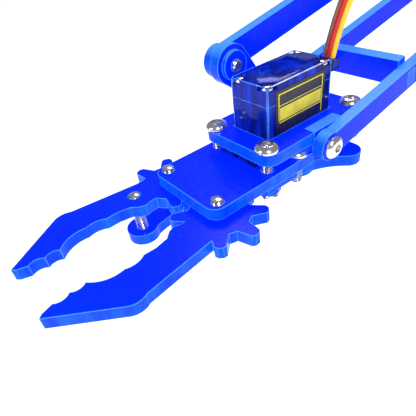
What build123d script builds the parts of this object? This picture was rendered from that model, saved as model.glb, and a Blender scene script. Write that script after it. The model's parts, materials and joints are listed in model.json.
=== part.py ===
from build123d import *
import os
from math import cos, pi, radians, sin, tan

# Desktop robot arm: laser-cut 3 mm acrylic, four micro servos, two parallel linkages
# and a geared two-finger gripper. Millimetres, +X forward, +Y left, +Z up.
# The origin is on the turning axis, on the bottom face of the foot plate.

os.makedirs("parts", exist_ok=True)

# ---- driving dimensions --------------------------------------------------------------
SHEET = 3.0                      # acrylic thickness
SCREW_R = 1.5                    # M3 shank
RUN_R = 1.58                     # M3 clearance hole that turns on a shank
HEAD_R = 2.9                     # M3 button head
HEAD_H = 1.7
NUT_AF = 5.5                     # M3 nut, across flats
NUT_H = 2.4

SERVO_L = 22.8                   # micro servo body
SERVO_W = 12.2
SERVO_EAR_L = 32.2
SERVO_EAR_W = 11.8
SERVO_EAR_T = 2.5
SERVO_ABOVE = 4.3                # case above the ears, output side
SERVO_BELOW = 15.9               # case below the ears
SERVO_COVER = 5.0                # depth of the end cover
SERVO_BOSS_R = 5.9
SERVO_BOSS_H = 4.0
SERVO_SHAFT_X = 5.5              # output shaft from the body's centre
SERVO_SHAFT_R = 2.3
HORN_FACE = 11.4                 # far face of a horn, above the ears
CUT_L = SERVO_L + 0.4            # cut-out in a plate for the body
CUT_W = SERVO_W + 0.4

COLLAR_L = 36.4
COLLAR_W = 24.0
COLLAR_SHIFT = 0.85              # collar centre from the body's centre, towards the shaft
COLLAR_BOLT_X = 15.8             # half spacings of the collar bolts
COLLAR_BOLT_Y = 8.96

# Foot plate: x, half spacing in y and radius of its corners. Its nose stands under the reach.
FOOT_CORNERS = ((-56.0, 26.0, 10.0), (20.0, 28.0, 8.0), (38.0, 16.0, 6.0), (45.0, 0.0, 10.0))
FOOT_HOLE_X = 76.0               # holes for screwing the arm to a bench
FOOT_HOLE_Y = 32.0
FOOT_HOLE_R = 2.1
DECK_XY = 68.0
DECK_R = 10.0
STANDOFF_H = 20.0
STANDOFF_XY = 27.0               # half spacing of the standoffs

UPPER_LEN = 110.0
FORE_LEN = 130.0
TAIL_LEN = 35.0                  # forearm tail and elbow lever
UPPER_DEG = 45.0                 # resting angles above the horizontal
FORE_DEG = -11.5
LEVEL_X, LEVEL_Z = -19.0, 6.5    # lower parallelogram arm
WRIST_X, WRIST_Z = 8.9, 18.1     # upper parallelogram arm

SHOULDER_Z = 64.0
FORE_Y = 15.4                    # outer face of the forearm beams
UPPER_Y = 18.8                   # outer face of the upper arm beams
INNER_Y = 12.0                   # outer face of the plates inside the forearm
HUB_GAP = 0.3                    # extra room beside the beam that turns on the hub
HUB_R = 6.5

BAR_R = 3.1                      # half width of a beam
EYE_R = 3.7                      # rounded end of a beam
ROD_R = 3.5
ROD_EYE_R = 4.2

# gripper, measured from the middle of its servo and the top face of the palm
PALM_FRONT = 34.3
PALM_REAR = -20.0
PALM_HALF = 12.1
PIVOT_X, PIVOT_Y = 31.2, 9.6     # claw pivots
CLAW_TOP = -3.2
CRANK_X, CRANK_Y = 10.0, 1.8     # link pin from the claw pivot
LEVER_TOP = -HORN_FACE
LEVER_T = 1.6
LINK_TOP = LEVER_TOP - LEVER_T - 0.2
NOTCH_REAR, NOTCH_FRONT = -9.2, 1.6
EAR_X, EAR_Y, EAR_R = -9.0, 14.4, 3.6
BRACKET_X, BRACKET_Y = 4.8, 9.3     # screws that hold the bracket under the palm
CLAW_ROOT_R = 7.5                # coarse gear on each claw
CLAW_TIP_R = 11.3
CLAW_TEETH = 8
LEFT_PHASE = 6.0
RIGHT_PHASE = LEFT_PHASE + 180.0 / CLAW_TEETH

LEAD_R = 1.2                     # servo lead

# ---- places worked out from them -----------------------------------------------------
foot_top = SHEET
deck_bottom = foot_top + STANDOFF_H
deck_top = deck_bottom + SHEET
base_ear = deck_top + SERVO_EAR_T
turret_bottom = base_ear + HORN_FACE
turret_top = turret_bottom + SHEET


def polar(length, degrees):
    return Vector(length * cos(radians(degrees)), length * sin(radians(degrees)))


# points of the linkage in the side view, as Vector(x, z)
shoulder = Vector(0, SHOULDER_Z)
elbow = shoulder + polar(UPPER_LEN, UPPER_DEG)
wrist = elbow + polar(FORE_LEN, FORE_DEG)
tail = elbow - polar(TAIL_LEN, FORE_DEG)
lever_end = shoulder - polar(TAIL_LEN, FORE_DEG)
level_arm = Vector(LEVEL_X, LEVEL_Z)
wrist_arm = Vector(WRIST_X, WRIST_Z)

grip_x = wrist.X + 1.1
palm_z = wrist.Y - 1.6


def side(point, y):
    """Plane seen from the right: local x is forward, local y is up, extrude goes to -Y."""
    return Plane(origin=(point.X, y, point.Y), x_dir=(1, 0, 0), z_dir=(0, -1, 0))


def flat(height):
    """Horizontal plane at a world height."""
    return Plane.XY.offset(height)


def palm(height):
    """Horizontal plane of the gripper, its origin over the middle of the servo."""
    return Plane(origin=(grip_x, 0, palm_z + height))


# ---- shared shapes -------------------------------------------------------------------
def bar_outline(start, end, half_width, eye):
    """Straight bar with a round eye at each end, in the active sketch."""
    with Locations(start, end):
        Circle(half_width)
    make_hull()
    with Locations(start, end):
        Circle(eye)


def holes(points, radius):
    with Locations(*points):
        Circle(radius, mode=Mode.SUBTRACT)


def button_screw(length, tip=0.4):
    """M3 button-head screw, its head above z = 0 and its shank below."""
    with BuildPart() as screw:
        with BuildSketch(Plane.XZ):
            with BuildLine():
                Polyline((0, -length), (SCREW_R - tip, -length), (SCREW_R, tip - length), (SCREW_R, 0),
                         (HEAD_R, 0), (HEAD_R, 0.35 * HEAD_H))
                ThreePointArc((HEAD_R, 0.35 * HEAD_H), (0.82 * HEAD_R, 0.8 * HEAD_H), (0.5 * HEAD_R, HEAD_H))
                Polyline((0.5 * HEAD_R, HEAD_H), (0, HEAD_H), (0, -length))
            make_face()
        revolve(axis=Axis.Z)
        with BuildSketch(Plane.XY.offset(HEAD_H)):
            RegularPolygon(radius=1.1, side_count=6)
        extrude(amount=-1.0, mode=Mode.SUBTRACT)
    return screw.part


def hex_nut():
    """M3 nut, its upper face at z = 0."""
    with BuildPart() as nut:
        with BuildSketch():
            RegularPolygon(radius=NUT_AF / 2, side_count=6, major_radius=False)
            Circle(SCREW_R, mode=Mode.SUBTRACT)
        extrude(amount=-NUT_H)
    return nut.part


def put(solid, point, turn=(0, 0, 0)):
    """Add a finished fastener to the active part, at a point and turned by angles."""
    with Locations(Location(point, turn)):
        add(solid)


OUT_LEFT = (-90, 0, 0)           # head towards +Y
OUT_RIGHT = (90, 0, 0)           # head towards -Y
DOWN = (180, 0, 0)               # head towards -Z


def servo_case(plane, below):
    """Servo case down to a depth below the ears, with ears, boss and lead exit.

    The plane lies on the ears' output side, its z towards the output shaft and
    its x towards the end that holds the shaft.
    """
    with BuildPart() as case:
        with BuildSketch(plane.offset(-SERVO_EAR_T - below)):
            Rectangle(SERVO_L, SERVO_W)
        extrude(amount=SERVO_EAR_T + below + SERVO_ABOVE)
        chamfer(case.edges().filter_by(Axis(plane.origin, plane.z_dir)), 0.5)
        with BuildSketch(plane.offset(-SERVO_EAR_T)):
            Rectangle(SERVO_EAR_L, SERVO_EAR_W)
            with Locations((SERVO_EAR_L / 2 - 1, 0), (1 - SERVO_EAR_L / 2, 0)):
                Rectangle(4.6, 1.6, mode=Mode.SUBTRACT)
        extrude(amount=SERVO_EAR_T)
        with BuildSketch(plane.offset(SERVO_ABOVE)):
            with Locations((SERVO_SHAFT_X, 0)):
                Circle(SERVO_BOSS_R)
            with Locations((SERVO_SHAFT_X - SERVO_BOSS_R - 0.3, 0)):
                Circle(2.6)
        extrude(amount=SERVO_BOSS_H)
        with BuildSketch(plane.offset(SERVO_ABOVE + SERVO_BOSS_H)):
            with Locations((SERVO_SHAFT_X, 0)):
                Circle(SERVO_SHAFT_R + 0.1)
        extrude(amount=-3.5, mode=Mode.SUBTRACT)
    return case.part


def servo_with_cover(plane):
    """Whole servo body in one piece, with the seam of its end cover as a groove."""
    with BuildPart() as body:
        add(servo_case(plane, SERVO_BELOW))
        with BuildSketch(plane.offset(SERVO_COVER - SERVO_EAR_T - SERVO_BELOW)):
            Rectangle(SERVO_L + 1, SERVO_W + 1)
            Rectangle(SERVO_L - 0.5, SERVO_W - 0.5, mode=Mode.SUBTRACT)
        extrude(amount=0.3, mode=Mode.SUBTRACT)
        with BuildSketch(plane.offset(0.6 - SERVO_EAR_T - SERVO_BELOW)):
            with Locations((SERVO_L / 2 + 0.4, 0)):
                Rectangle(1.2, 4.0)
        extrude(amount=2.2)
    return body.part


def servo_horn(plane, arm, arm_r, disc_r):
    """White horn on its splined shaft: a hub, a flat disc and, if asked, one arm."""
    hub_low = SERVO_ABOVE + SERVO_BOSS_H + 0.3
    with BuildPart() as horn:
        with BuildSketch(plane.offset(SERVO_ABOVE + SERVO_BOSS_H - 3.2)):
            with Locations((SERVO_SHAFT_X, 0)):
                Circle(SERVO_SHAFT_R)
        extrude(amount=3.6)
        with BuildSketch(plane.offset(hub_low)):
            with Locations((SERVO_SHAFT_X, 0)):
                Circle(3.4)
        extrude(amount=HORN_FACE - hub_low)
        with BuildSketch(plane.offset(HORN_FACE - 1.4)):
            with Locations((SERVO_SHAFT_X, 0)):
                Circle(disc_r)
            if arm:
                with Locations((SERVO_SHAFT_X, 0), Vector(SERVO_SHAFT_X, 0) + arm):
                    Circle(arm_r)
                make_hull()
        extrude(amount=1.4)
    return horn.part


def collar(plane):
    """Clamp collar over the ears of a servo: a rounded frame with four bolt holes."""
    with BuildPart() as frame:
        with BuildSketch(plane):
            with Locations((COLLAR_SHIFT, 0)):
                RectangleRounded(COLLAR_L, COLLAR_W, 3.2)
                with GridLocations(2 * COLLAR_BOLT_X, 2 * COLLAR_BOLT_Y, 2, 2):
                    Circle(SCREW_R, mode=Mode.SUBTRACT)
            Rectangle(CUT_L, CUT_W, mode=Mode.SUBTRACT)
        extrude(amount=SHEET)
    return frame.part


def collar_bolts(plane, head_at, nut_at, length):
    """Four M3 screws and nuts through a collar, along the plane's z."""
    with BuildPart() as bolts:
        for x in (-COLLAR_BOLT_X, COLLAR_BOLT_X):
            for y in (-COLLAR_BOLT_Y, COLLAR_BOLT_Y):
                spot = plane * Location((COLLAR_SHIFT + x, y, head_at))
                stem = 1 if head_at > nut_at else -1
                turn = Location((0, 0, 0), (0 if stem > 0 else 180, 0, 0))
                add(spot * turn * button_screw(length))
                add(plane * Location((COLLAR_SHIFT + x, y, nut_at)) * turn * hex_nut())
    return bolts.part


def servo_cutout():
    """Body opening and bolt holes of a servo, cut in the active sketch."""
    Rectangle(CUT_L, CUT_W, mode=Mode.SUBTRACT)
    with Locations((COLLAR_SHIFT, 0)):
        with GridLocations(2 * COLLAR_BOLT_X, 2 * COLLAR_BOLT_Y, 2, 2):
            Circle(SCREW_R, mode=Mode.SUBTRACT)


def finish(part, label):
    part.label = label
    export_step(part, f"parts/{label}.step")


# ---- base ----------------------------------------------------------------------------
with BuildPart() as base_footplate:
    with BuildSketch():
        for corner_x, corner_y, corner_r in FOOT_CORNERS:
            with Locations((corner_x, corner_y), (corner_x, -corner_y)):
                Circle(corner_r)
        make_hull()
        with GridLocations(FOOT_HOLE_X, FOOT_HOLE_Y, 2, 2):
            Circle(FOOT_HOLE_R, mode=Mode.SUBTRACT)
    extrude(amount=SHEET)
    with Locations(Plane.XY * Rot(180, 0, 0)):
        with GridLocations(2 * STANDOFF_XY, 2 * STANDOFF_XY, 2, 2):
            CounterSinkHole(radius=SCREW_R, counter_sink_radius=3.0, depth=SHEET)
finish(base_footplate.part, "base_footplate")

with BuildPart() as base_standoffs:
    with BuildSketch(flat(foot_top)):
        with GridLocations(2 * STANDOFF_XY, 2 * STANDOFF_XY, 2, 2):
            RegularPolygon(radius=2.9, side_count=6, major_radius=False)
            Circle(SCREW_R, mode=Mode.SUBTRACT)
    extrude(amount=STANDOFF_H)
finish(base_standoffs.part, "base_standoffs")

with BuildPart() as footplate_screws:
    with BuildSketch():
        with GridLocations(2 * STANDOFF_XY, 2 * STANDOFF_XY, 2, 2):
            Circle(SCREW_R)
    extrude(amount=foot_top + 6)
    with GridLocations(2 * STANDOFF_XY, 2 * STANDOFF_XY, 2, 2):
        Cone(3.0, SCREW_R, 1.5, align=(Align.CENTER, Align.CENTER, Align.MIN))
finish(footplate_screws.part, "footplate_screws")

base_plane = Plane(origin=(SERVO_SHAFT_X, 0, base_ear), x_dir=(-1, 0, 0), z_dir=(0, 0, 1))

with BuildPart() as base_deck:
    with BuildSketch(flat(deck_bottom)):
        RectangleRounded(DECK_XY, DECK_XY, DECK_R)
        with GridLocations(2 * STANDOFF_XY, 2 * STANDOFF_XY, 2, 2):
            Circle(SCREW_R, mode=Mode.SUBTRACT)
        with Locations(Location((SERVO_SHAFT_X, 0), 180)):
            servo_cutout()
    extrude(amount=SHEET)
finish(base_deck.part, "base_deck")

with BuildPart() as deck_screws:
    with GridLocations(2 * STANDOFF_XY, 2 * STANDOFF_XY, 2, 2):
        with Locations((0, 0, deck_top)):
            add(button_screw(9))
finish(deck_screws.part, "deck_screws")

base_servo_case = servo_with_cover(base_plane)
finish(base_servo_case, "base_servo_case")

base_collar = collar(base_plane)
finish(base_collar, "base_collar")

base_collar_bolts = collar_bolts(base_plane, SHEET, -SERVO_EAR_T - SHEET, 12)
finish(base_collar_bolts, "base_collar_bolts")

# ---- turret --------------------------------------------------------------------------
turret_horn = servo_horn(base_plane, Vector(14, 0), 2.2, 4.0)
finish(turret_horn, "turret_horn")

right_ear_y = -(UPPER_Y + HORN_FACE)
left_ear_y = UPPER_Y + HUB_GAP + HORN_FACE
TAB_X = (-15.0, 17.0)            # tabs that stand in the turret plate
TAB_L = 8.0
BRACE_X = 22.0                   # brace between the side plates
BRACE_H = 8.0
BRACE_TAB = 4.0                  # height of every brace's tab

with BuildPart() as turret_plate:
    with BuildSketch(flat(turret_bottom)):
        with Locations((1, 0)):
            RectangleRounded(58, 2 * left_ear_y + 6, 9)
        for x in TAB_X:
            for y in (left_ear_y - SHEET / 2, right_ear_y + SHEET / 2):
                with Locations((x, y)):
                    Rectangle(TAB_L, SHEET, mode=Mode.SUBTRACT)
        with Locations((0, 0), (-8, 0), (-13, 0)):
            Circle(1.1, mode=Mode.SUBTRACT)
    extrude(amount=SHEET)
finish(turret_plate.part, "turret_plate")


def side_plate_outline(post_hole):
    """Side plate that carries a servo, with tabs at its foot, around the shoulder axis."""
    low = turret_top - SHOULDER_Z
    with BuildLine() as edge:
        Polyline((27, low), (27, 4), (19, 16), (-6, 16), (-24.5, 10.5), (-25, low), (27, low))
    make_face(edge.edges())
    fillet(vertices().filter_by_position(Axis.Y, 0, 30), 4)
    for x in TAB_X:
        with Locations((x, low - SHEET / 2)):
            Rectangle(TAB_L, SHEET)
    with Locations(Location((SERVO_SHAFT_X, 0), 180)):
        servo_cutout()
    with Locations((BRACE_X, low + BRACE_H / 2)):
        Rectangle(SHEET, BRACE_TAB, mode=Mode.SUBTRACT)
    if post_hole:
        with Locations(level_arm):
            Circle(SCREW_R, mode=Mode.SUBTRACT)


with BuildPart() as side_plate_left:
    with BuildSketch(side(shoulder, left_ear_y)):
        side_plate_outline(False)
    extrude(amount=SHEET)
finish(side_plate_left.part, "side_plate_left")

with BuildPart() as side_plate_right:
    with BuildSketch(side(shoulder, right_ear_y + SHEET)):
        side_plate_outline(True)
    extrude(amount=SHEET)
finish(side_plate_right.part, "side_plate_right")

with BuildPart() as turret_brace:
    inner_left = left_ear_y - SHEET
    inner_right = right_ear_y + SHEET
    middle = Vector(BRACE_X, turret_top + BRACE_H / 2)
    with BuildSketch(side(middle, inner_left)):
        Rectangle(SHEET, BRACE_H)
    extrude(amount=inner_left - inner_right)
    with BuildSketch(side(middle, left_ear_y)):
        Rectangle(SHEET, BRACE_TAB)
    extrude(amount=left_ear_y - right_ear_y)
finish(turret_brace.part, "turret_brace")

shoulder_plane = Plane(origin=(SERVO_SHAFT_X, right_ear_y, SHOULDER_Z), x_dir=(-1, 0, 0), z_dir=(0, 1, 0))
elbow_plane = Plane(origin=(SERVO_SHAFT_X, left_ear_y, SHOULDER_Z), x_dir=(-1, 0, 0), z_dir=(0, -1, 0))

for plane, name in ((shoulder_plane, "shoulder"), (elbow_plane, "elbow")):
    finish(servo_with_cover(plane), f"{name}_servo_case")
    finish(collar(plane.offset(-SERVO_EAR_T - SHEET)), f"{name}_collar")

with BuildPart() as side_collar_bolts:
    for plane in (shoulder_plane, elbow_plane):
        add(collar_bolts(plane, -SERVO_EAR_T - SHEET, SHEET, 12))
finish(side_collar_bolts.part, "side_collar_bolts")

# Long shoulder bolt that holds the lower end of the level rod
post_inner = -(FORE_Y + 0.3)
with BuildPart() as level_rod_post:
    foot = shoulder + level_arm
    with BuildSketch(side(foot, right_ear_y)):
        Circle(HEAD_R)
    extrude(amount=HEAD_H)
    with BuildSketch(side(foot, post_inner)):
        Circle(2.6)
    extrude(amount=post_inner - (right_ear_y + SHEET))
    with BuildSketch(side(foot, SHEET - FORE_Y + 0.3)):
        Circle(SCREW_R)
    extrude(amount=SHEET - FORE_Y + 0.3 - right_ear_y)
    with BuildSketch(side(foot, SHEET - FORE_Y + 0.3 + NUT_H)):
        RegularPolygon(radius=NUT_AF / 2, side_count=6, major_radius=False)
    extrude(amount=NUT_H)
finish(level_rod_post.part, "level_rod_post")

# ---- upper arm -----------------------------------------------------------------------
upper_end = polar(UPPER_LEN, UPPER_DEG)
upper_mid = polar(UPPER_LEN / 2, UPPER_DEG)
UPPER_BRACE_H = 8.0
HORN_SCREW_AT = (8.0, 13.0)      # horn screws, from the shaft


def brace_slot(at, degrees):
    """Slot for a brace's tab, across a beam, in the active sketch."""
    with Locations(Location((at.X, at.Y), degrees)):
        Rectangle(SHEET, BRACE_TAB, mode=Mode.SUBTRACT)


with BuildPart() as upper_arm_right:
    with BuildSketch(side(shoulder, SHEET - UPPER_Y)):
        bar_outline((0, 0), upper_end, 4.2, 4.2)
        Circle(7.5)
        holes([(0, 0)] + [polar(r, UPPER_DEG) for r in HORN_SCREW_AT], 1.0)
        holes([upper_end], SCREW_R)
        brace_slot(upper_mid, UPPER_DEG)
    extrude(amount=SHEET)
finish(upper_arm_right.part, "upper_arm_right")

with BuildPart() as upper_arm_left:
    with BuildSketch(side(shoulder, UPPER_Y)):
        bar_outline((0, 0), upper_end, 4.2, 4.2)
        Circle(10.5)
        holes([(0, 0)], HUB_R + 0.08)
        holes([upper_end], SCREW_R)
        brace_slot(upper_mid, UPPER_DEG)
    extrude(amount=SHEET)
finish(upper_arm_left.part, "upper_arm_left")


def cross_brace(at, degrees, height, lift, inner, outer):
    """Brace between two beams, square to them, with a tab through each beam."""
    with BuildPart() as brace:
        with BuildSketch(side(at, inner)):
            with Locations(Location((0, 0), degrees)):
                with Locations((0, lift)):
                    Rectangle(SHEET, height)
        extrude(amount=2 * inner)
        with BuildSketch(side(at, outer)):
            with Locations(Location((0, 0), degrees)):
                Rectangle(SHEET, BRACE_TAB)
        extrude(amount=2 * outer)
    return brace.part


upper_arm_brace = cross_brace(shoulder + upper_mid, UPPER_DEG, UPPER_BRACE_H, 0, UPPER_Y - SHEET, UPPER_Y)
finish(upper_arm_brace, "upper_arm_brace")

# The horn's arm lies along the beam; its plane's x points backwards
shoulder_horn_arm = Vector(-14 * cos(radians(UPPER_DEG)), 14 * sin(radians(UPPER_DEG)))
shoulder_horn = servo_horn(shoulder_plane, shoulder_horn_arm, 2.2, 4.0)
finish(shoulder_horn, "shoulder_horn")

with BuildPart() as shoulder_horn_screws:
    for r in HORN_SCREW_AT:
        at = shoulder + polar(r, UPPER_DEG)
        with BuildSketch(side(at, SHEET - UPPER_Y)):
            Circle(1.0)
        extrude(amount=SHEET)
        with BuildSketch(side(at, SHEET - UPPER_Y + 1.0)):
            Circle(1.8)
        extrude(amount=1.0)
finish(shoulder_horn_screws.part, "shoulder_horn_screws")

with BuildPart() as elbow_pivot_screws:
    put(button_screw(6.3), (elbow.X, UPPER_Y, elbow.Y), OUT_LEFT)
    put(button_screw(10.5), (elbow.X, -UPPER_Y, elbow.Y), OUT_RIGHT)
finish(elbow_pivot_screws.part, "elbow_pivot_screws")

# ---- level keeping: lower rod, elbow triangle, upper rod ------------------------------
with BuildPart() as level_rod:
    with BuildSketch(side(shoulder + level_arm, SHEET - FORE_Y)):
        bar_outline((0, 0), upper_end, BAR_R, ROD_EYE_R)
        holes([(0, 0), upper_end], RUN_R)
    extrude(amount=SHEET)
finish(level_rod.part, "level_rod")

with BuildPart() as elbow_triangle:
    with BuildSketch(side(elbow, SHEET - INNER_Y)):
        with Locations((0, 0), level_arm, wrist_arm):
            Circle(4.2)
        make_hull()
        holes([(0, 0)], RUN_R)
        holes([level_arm, wrist_arm], SCREW_R)
    extrude(amount=SHEET)
finish(elbow_triangle.part, "elbow_triangle")

with BuildPart() as triangle_pivot_screws:
    for arm in (level_arm, wrist_arm):
        at = elbow + arm
        put(button_screw(7.5), (at.X, -FORE_Y, at.Y), OUT_RIGHT)
finish(triangle_pivot_screws.part, "triangle_pivot_screws")

fore_end = polar(FORE_LEN, FORE_DEG)
with BuildPart() as forearm_rod:
    with BuildSketch(side(elbow + wrist_arm, SHEET - FORE_Y)):
        bar_outline((0, 0), fore_end, ROD_R, ROD_EYE_R)
        holes([(0, 0), fore_end], RUN_R)
    extrude(amount=SHEET)
finish(forearm_rod.part, "forearm_rod")

# ---- forearm -------------------------------------------------------------------------
FORE_BRACE_H = 7.6
FORE_BRACE_LIFT = 1.0
fore_brace_spots = [polar(reach, FORE_DEG) for reach in (18.0, FORE_LEN - 33.8)]

with BuildPart() as forearm_beam_left:
    with BuildSketch(side(elbow, FORE_Y)):
        bar_outline(-polar(TAIL_LEN, FORE_DEG), fore_end, BAR_R, EYE_R)
        Circle(EYE_R)
        holes([(0, 0), fore_end], RUN_R)
        holes([-polar(TAIL_LEN, FORE_DEG)], SCREW_R)
        for spot in fore_brace_spots:
            brace_slot(spot, FORE_DEG)
    extrude(amount=SHEET)
finish(forearm_beam_left.part, "forearm_beam_left")

with BuildPart() as forearm_beam_right:
    with BuildSketch(side(elbow, SHEET - FORE_Y)):
        bar_outline((0, 0), fore_end, BAR_R, EYE_R)
        holes([(0, 0), fore_end], RUN_R)
        for spot in fore_brace_spots:
            brace_slot(spot, FORE_DEG)
    extrude(amount=SHEET)
finish(forearm_beam_right.part, "forearm_beam_right")

with BuildPart() as forearm_braces:
    for spot in fore_brace_spots:
        add(cross_brace(elbow + spot, FORE_DEG, FORE_BRACE_H, FORE_BRACE_LIFT, FORE_Y - SHEET, FORE_Y))
finish(forearm_braces.part, "forearm_braces")

PIVOT_SCREW = 7.0                # from a beam's outer face to past the rod inside it
with BuildPart() as tail_pivot_screw:
    put(button_screw(PIVOT_SCREW), (tail.X, FORE_Y, tail.Y), OUT_LEFT)
finish(tail_pivot_screw.part, "tail_pivot_screw")

# ---- elbow drive ---------------------------------------------------------------------
with BuildPart() as elbow_lever:
    with BuildSketch(side(shoulder, FORE_Y)):
        lever_tip = -polar(TAIL_LEN, FORE_DEG)
        with Locations((0, 0)):
            Circle(8)
        with Locations(lever_tip):
            Circle(BAR_R)
        make_hull()
        with Locations(lever_tip):
            Circle(EYE_R)
        holes([lever_tip], RUN_R)
        with PolarLocations(4.2, 4):
            Circle(1.0, mode=Mode.SUBTRACT)
    extrude(amount=SHEET)
finish(elbow_lever.part, "elbow_lever")

with BuildPart() as elbow_lever_hub:
    with BuildSketch(side(shoulder, UPPER_Y + HUB_GAP)):
        Circle(HUB_R)
        with PolarLocations(4.2, 4):
            Circle(1.0, mode=Mode.SUBTRACT)
    extrude(amount=UPPER_Y + HUB_GAP - FORE_Y)
finish(elbow_lever_hub.part, "elbow_lever_hub")

elbow_horn = servo_horn(elbow_plane, None, 0, 7.5)
finish(elbow_horn, "elbow_horn")

with BuildPart() as elbow_horn_screws:
    for turn in (0, 90, 180, 270):
        at = shoulder + polar(4.2, turn)
        with BuildSketch(side(at, UPPER_Y + HUB_GAP)):
            Circle(1.0)
        extrude(amount=UPPER_Y + HUB_GAP - FORE_Y + SHEET)
        with BuildSketch(side(at, FORE_Y - SHEET)):
            Circle(1.8)
        extrude(amount=1.0)
finish(elbow_horn_screws.part, "elbow_horn_screws")

with BuildPart() as lever_pivot_screw:
    put(button_screw(PIVOT_SCREW), (lever_end.X, FORE_Y, lever_end.Y), OUT_LEFT)
finish(lever_pivot_screw.part, "lever_pivot_screw")

with BuildPart() as push_rod:
    with BuildSketch(side(lever_end, INNER_Y)):
        bar_outline((0, 0), upper_end, BAR_R, EYE_R)
        holes([(0, 0), upper_end], RUN_R)
    extrude(amount=SHEET)
finish(push_rod.part, "push_rod")

# ---- gripper frame -------------------------------------------------------------------
notch_l = NOTCH_FRONT - NOTCH_REAR
notch_x = (NOTCH_FRONT + NOTCH_REAR) / 2
gripper_plane = Plane(origin=(grip_x, 0, palm_z), x_dir=(-1, 0, 0), z_dir=(0, 0, -1))


def cheek_notches():
    """Open notches in both edges for the upright wrist plates, in the active sketch."""
    reach = PALM_HALF - INNER_Y + SHEET + 1
    for y in (-1, 1):
        with Locations((notch_x, y * (INNER_Y - SHEET + reach / 2))):
            Rectangle(notch_l, reach, mode=Mode.SUBTRACT)


with BuildPart() as palm_plate:
    with BuildSketch(palm(-SHEET)):
        with Locations(((PALM_FRONT + PALM_REAR) / 2, 0)):
            RectangleRounded(PALM_FRONT - PALM_REAR, 2 * PALM_HALF, 3.0)
        with Locations(Location((0, 0), 180)):
            servo_cutout()
        cheek_notches()
        for y in (-1, 1):
            holes([(PIVOT_X, y * PIVOT_Y), (BRACKET_X, y * BRACKET_Y)], SCREW_R)
    extrude(amount=SHEET)
finish(palm_plate.part, "palm_plate")

with BuildPart() as gripper_collar:
    add(collar(gripper_plane.offset(-SERVO_EAR_T - SHEET)))
    with BuildSketch(palm(SERVO_EAR_T)):
        for y in (-1, 1):
            with Locations((notch_x, y * (INNER_Y - SHEET / 2))):
                Rectangle(notch_l, SHEET)
    extrude(amount=SHEET, mode=Mode.SUBTRACT)
finish(gripper_collar.part, "gripper_collar")

TOE_X = 16.5                     # front edge of the bracket under the palm
TOE_Y = 10.6
CHEEK_TAB_L = 5.0

with BuildPart() as wrist_bracket:
    with BuildSketch(palm(-2 * SHEET)):
        for y in (-1, 1):
            with BuildLine():
                Line((EAR_X, 0), (EAR_X, y * EAR_Y))
                ear_side = (EAR_X + EAR_R * 0.8, y * (EAR_Y + EAR_R * 0.6))
                Line((EAR_X, y * EAR_Y), ear_side)
                ThreePointArc(ear_side, (-1.5, y * 12.8), (5, y * TOE_Y))
                Polyline((5, y * TOE_Y), (TOE_X, y * TOE_Y), (TOE_X, 0), (EAR_X, 0))
            make_face()
            with Locations((EAR_X, y * EAR_Y)):
                Circle(EAR_R)
            with Locations((EAR_X - EAR_R / 2, y * EAR_Y / 2)):
                Rectangle(EAR_R, EAR_Y)
        with Locations((-EAR_R, 0)):
            Rectangle(CUT_L + 8, CUT_W, mode=Mode.SUBTRACT)
        for y in (-1, 1):
            with Locations((NOTCH_REAR + CHEEK_TAB_L / 2, y * (INNER_Y - SHEET / 2))):
                Rectangle(CHEEK_TAB_L, SHEET, mode=Mode.SUBTRACT)
        for y in (-1, 1):
            holes([(BRACKET_X, y * BRACKET_Y), (COLLAR_BOLT_X - COLLAR_SHIFT, y * COLLAR_BOLT_Y)], SCREW_R)
    extrude(amount=SHEET)
finish(wrist_bracket.part, "wrist_bracket")


WRIST_DISC_R = 5.0
WRIST_NECK_X = -5.4              # middle and length of the foot's stretch that carries the disc
WRIST_NECK = 4.4
WRIST_BOSS_R = 3.6               # raised disc round the upper pivot
WRIST_BOSS_T = 1.1


def cheek_foot():
    """Foot of an upright wrist plate, from the bracket up to the collar's top face."""
    top = SERVO_EAR_T + SHEET
    with Locations((notch_x, (top - SHEET) / 2)):
        Rectangle(notch_l, top + SHEET)
    with Locations((NOTCH_REAR + CHEEK_TAB_L / 2, -1.5 * SHEET)):
        Rectangle(CHEEK_TAB_L, SHEET)


grip_point = Vector(grip_x, palm_z)
wrist_at = wrist - grip_point

with BuildPart() as wrist_cheek_left:
    with BuildSketch(side(grip_point, INNER_Y)):
        cheek_foot()
        holes([wrist_at], SCREW_R)
    extrude(amount=SHEET)
finish(wrist_cheek_left.part, "wrist_cheek_left")

with BuildPart() as wrist_plate_right:
    with BuildSketch(side(grip_point, SHEET - INNER_Y)):
        with Locations(wrist_at + wrist_arm):
            Circle(WRIST_DISC_R)
        with Locations((WRIST_NECK_X, SERVO_EAR_T + SHEET + 0.1)):
            Rectangle(WRIST_NECK, 0.2)
        make_hull()
        cheek_foot()
    extrude(amount=SHEET)
    with BuildSketch(side(grip_point, SHEET - INNER_Y + WRIST_BOSS_T)):
        with Locations(wrist_at + wrist_arm):
            Circle(WRIST_BOSS_R)
    extrude(amount=WRIST_BOSS_T)
    with BuildSketch(side(grip_point, SHEET - INNER_Y + WRIST_BOSS_T)):
        with Locations(wrist_at, wrist_at + wrist_arm):
            Circle(SCREW_R)
    extrude(amount=SHEET + WRIST_BOSS_T, mode=Mode.SUBTRACT)
finish(wrist_plate_right.part, "wrist_plate_right")

with BuildPart() as wrist_pivot_screws:
    upper = wrist + wrist_arm
    put(button_screw(6.3), (wrist.X, FORE_Y, wrist.Y), OUT_LEFT)
    put(button_screw(6.3), (wrist.X, -FORE_Y, wrist.Y), OUT_RIGHT)
    put(button_screw(8.4), (upper.X, -FORE_Y, upper.Y), OUT_RIGHT)
finish(wrist_pivot_screws.part, "wrist_pivot_screws")

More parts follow.
